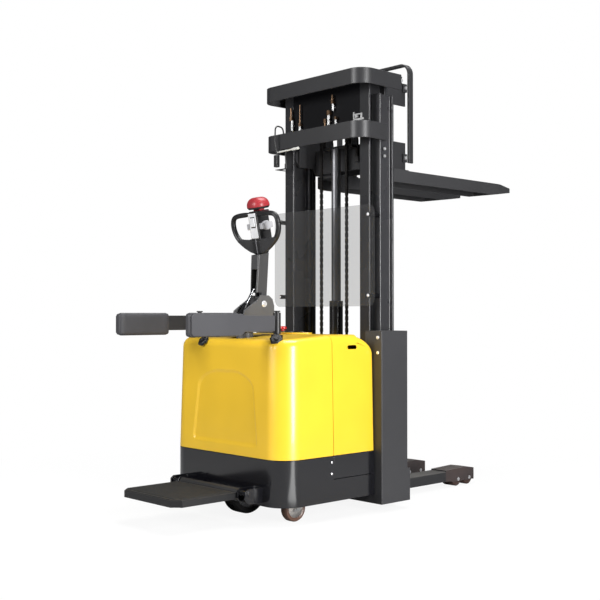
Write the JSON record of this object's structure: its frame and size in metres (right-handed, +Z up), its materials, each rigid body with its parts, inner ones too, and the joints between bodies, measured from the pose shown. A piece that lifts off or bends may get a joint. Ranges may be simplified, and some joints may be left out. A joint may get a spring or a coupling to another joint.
{
  "type": "walkie stacker",
  "caption": "Powered pallet stacker: hooded drive body with fold-down rider platform, swing-out side arms, tiller, telescopic mast and fork carriage over support legs.",
  "frame": {"origin": "on the floor under the middle of the whole truck, with the carriage near the top of its free lift", "axes": "X to the right for an operator facing the forks, Y towards the fork tips, Z up"},
  "size_m": [0.946, 2.46, 2.322],
  "materials": {
    "frame_paint": "satin",
    "skirt_paint": "satin",
    "black_paint": "satin",
    "yellow_hood": "gloss",
    "grey_casing": "matte",
    "grey_metal": "satin",
    "black_plastic": "satin",
    "grey_plastic": "satin",
    "red_plastic": "gloss",
    "bright_steel": "satin",
    "chrome_rod": "polished",
    "black_tube": "gloss",
    "clear_panel": "gloss",
    "cable_rubber": "matte",
    "deck_rubber": "matte",
    "pad_rubber": "matte",
    "wheel_tread": "satin",
    "chain_steel": "satin",
    "brass_fitting": "satin"
  },
  "bodies": {
    "chassis": {"base_frame": "frame_paint", "leg_left": "frame_paint", "leg_right": "frame_paint", "skirt": "skirt_paint", "chassis_plates": "black_paint", "battery": "grey_casing", "power_pack": "grey_metal", "hood_rear": "yellow_hood", "hood_front": "yellow_hood", "instrument_panel": "black_plastic", "outer_rails": "black_paint", "outer_crown": "black_paint", "lift_barrels": "black_paint", "guard_panel": "clear_panel", "fasteners": "bright_steel", "arm_posts": "black_paint", "platform_brackets": "skirt_paint", "mast_cable": "cable_rubber", "cable_switch": "black_plastic"},
    "steer_unit": {"gearbox": "grey_metal", "drive_motor": "grey_metal", "steer_yoke": "black_paint", "gas_spring": "black_tube"},
    "drive_wheel": {"drive_wheel": "wheel_tread"},
    "gas_rod": {"gas_rod": "chrome_rod"},
    "tiller": {"tiller_arm": "black_paint", "tiller_head": "black_plastic"},
    "belly_button": {"belly_button": "red_plastic"},
    "throttle": {"throttle": "grey_plastic"},
    "lift_rocker": {"lift_rocker": "grey_plastic"},
    "horn_button": {"horn_button": "black_plastic"},
    "estop_button": {"estop_button": "red_plastic"},
    "battery_door": {"battery_door": "yellow_hood"},
    "platform": {"platform_deck": "black_paint", "platform_mat": "deck_rubber"},
    "side_arm_left": {"side_arm_left": "black_paint", "arm_pad_left": "pad_rubber"},
    "side_arm_right": {"side_arm_right": "black_paint", "arm_pad_right": "pad_rubber"},
    "caster_left": {"caster_fork_left": "bright_steel"},
    "caster_right": {"caster_fork_right": "bright_steel"},
    "caster_wheel_left": {"caster_wheel_left": "wheel_tread"},
    "caster_wheel_right": {"caster_wheel_right": "wheel_tread"},
    "load_wheel_left_rear": {"load_wheel_left_rear": "wheel_tread"},
    "load_wheel_left_front": {"load_wheel_left_front": "wheel_tread"},
    "load_wheel_right_rear": {"load_wheel_right_rear": "wheel_tread"},
    "load_wheel_right_front": {"load_wheel_right_front": "wheel_tread"},
    "inner_mast": {"inner_rails": "black_paint", "inner_ties": "black_paint", "inner_crown": "black_paint", "lift_rods": "chrome_rod", "free_lift_barrel": "black_paint"},
    "lift_head": {"lift_head": "black_paint", "chains_anchored": "chain_steel"},
    "chain_sprockets": {"chain_sprockets": "chain_steel"},
    "carriage": {"carriage_frame": "black_paint", "fork_left": "black_paint", "fork_right": "black_paint", "backrest": "black_paint", "chains_lifting": "chain_steel"}
  },
  "joints": [
    {"name": "steering", "type": "hinge", "parent": "chassis", "child": "steer_unit", "pos_m": [0, -0.652, 0.3], "axis": [0, 0, 1], "range_deg": [-80, 80]},
    {"name": "drive_spin", "type": "hinge", "parent": "steer_unit", "child": "drive_wheel", "pos_m": [0, -0.652, 0.115], "axis": [1, 0, 0], "continuous": true},
    {"name": "tiller_tilt", "type": "hinge", "parent": "steer_unit", "child": "tiller", "pos_m": [0, -0.566, 1.024], "axis": [1, 0, 0], "range_deg": [0, 60]},
    {"name": "spring_stroke", "type": "slide", "parent": "steer_unit", "child": "gas_rod", "axis": [0, 0.5233, 0.8522], "range_m": [-0.0795, 0]},
    {"name": "throttle_turn", "type": "hinge", "parent": "tiller", "child": "throttle", "pos_m": [0, -0.55422, 1.41446], "axis": [1, 0, 0], "range_deg": [-35, 35], "stiffness_Nm_per_rad": 0.4},
    {"name": "rocker_tilt", "type": "hinge", "parent": "tiller", "child": "lift_rocker", "pos_m": [0, -0.59792, 1.42767], "axis": [1, 0, 0], "range_deg": [-12, 12], "stiffness_Nm_per_rad": 0.4},
    {"name": "belly_press", "type": "slide", "parent": "tiller", "child": "belly_button", "axis": [0, 0.2079, -0.9781], "range_m": [0, 0.0075], "stiffness_N_per_m": 600, "springref_m": -0.014},
    {"name": "horn_press", "type": "slide", "parent": "tiller", "child": "horn_button", "axis": [-1, 0, 0], "range_m": [0, 0.003], "stiffness_N_per_m": 400, "springref_m": -0.003},
    {"name": "estop_press", "type": "slide", "parent": "chassis", "child": "estop_button", "axis": [0, 0, -1], "range_m": [0, 0.005]},
    {"name": "door_swing", "type": "hinge", "parent": "chassis", "child": "battery_door", "pos_m": [0.428, -0.46, 0.5], "axis": [0, 0, -1], "range_deg": [0, 100]},
    {"name": "platform_fold", "type": "hinge", "parent": "chassis", "child": "platform", "pos_m": [0, -0.866, 0.15], "axis": [-1, 0, 0], "range_deg": [0, 90]},
    {"name": "arm_swing_left", "type": "hinge", "parent": "chassis", "child": "side_arm_left", "pos_m": [-0.296, -0.704, 0.93], "axis": [0, 0, -1], "range_deg": [0, 100]},
    {"name": "arm_swing_right", "type": "hinge", "parent": "chassis", "child": "side_arm_right", "pos_m": [0.296, -0.704, 0.93], "axis": [0, 0, 1], "range_deg": [0, 100]},
    {"name": "caster_swivel_left", "type": "hinge", "parent": "chassis", "child": "caster_left", "pos_m": [-0.322, -0.597, 0.14], "axis": [0, 0, 1], "continuous": true},
    {"name": "caster_spin_left", "type": "hinge", "parent": "caster_left", "child": "caster_wheel_left", "pos_m": [-0.322, -0.625, 0.0625], "axis": [1, 0, 0], "continuous": true},
    {"name": "load_spin_left_rear", "type": "hinge", "parent": "chassis", "child": "load_wheel_left_rear", "pos_m": [-0.181, 0.727, 0.04], "axis": [1, 0, 0], "continuous": true},
    {"name": "load_spin_left_front", "type": "hinge", "parent": "chassis", "child": "load_wheel_left_front", "pos_m": [-0.181, 0.827, 0.04], "axis": [1, 0, 0], "continuous": true},
    {"name": "caster_swivel_right", "type": "hinge", "parent": "chassis", "child": "caster_right", "pos_m": [0.322, -0.597, 0.14], "axis": [0, 0, 1], "continuous": true},
    {"name": "caster_spin_right", "type": "hinge", "parent": "caster_right", "child": "caster_wheel_right", "pos_m": [0.322, -0.625, 0.0625], "axis": [1, 0, 0], "continuous": true},
    {"name": "load_spin_right_rear", "type": "hinge", "parent": "chassis", "child": "load_wheel_right_rear", "pos_m": [0.181, 0.727, 0.04], "axis": [1, 0, 0], "continuous": true},
    {"name": "load_spin_right_front", "type": "hinge", "parent": "chassis", "child": "load_wheel_right_front", "pos_m": [0.181, 0.827, 0.04], "axis": [1, 0, 0], "continuous": true},
    {"name": "mast_lift", "type": "slide", "parent": "chassis", "child": "inner_mast", "axis": [0, 0, 1], "range_m": [0, 1.3]},
    {"name": "free_lift", "type": "slide", "parent": "inner_mast", "child": "lift_head", "axis": [0, 0, 1], "range_m": [-0.81, 0], "deforming": ["chains_anchored"]},
    {"name": "carriage_lift", "type": "slide", "parent": "lift_head", "child": "carriage", "axis": [0, 0, 1], "range_m": [-0.81, 0], "deforming": ["chains_lifting"]},
    {"name": "sprocket_spin", "type": "hinge", "parent": "lift_head", "child": "chain_sprockets", "pos_m": [0, 0.007, 1.9], "axis": [1, 0, 0], "continuous": true}
  ],
  "couplings": [
    {"joint": "spring_stroke", "follows": "tiller_tilt", "m_per_rad": -0.07568},
    {"joint": "carriage_lift", "follows": "free_lift", "ratio": 1},
    {"joint": "sprocket_spin", "follows": "free_lift", "rad_per_m": 25}
  ]
}
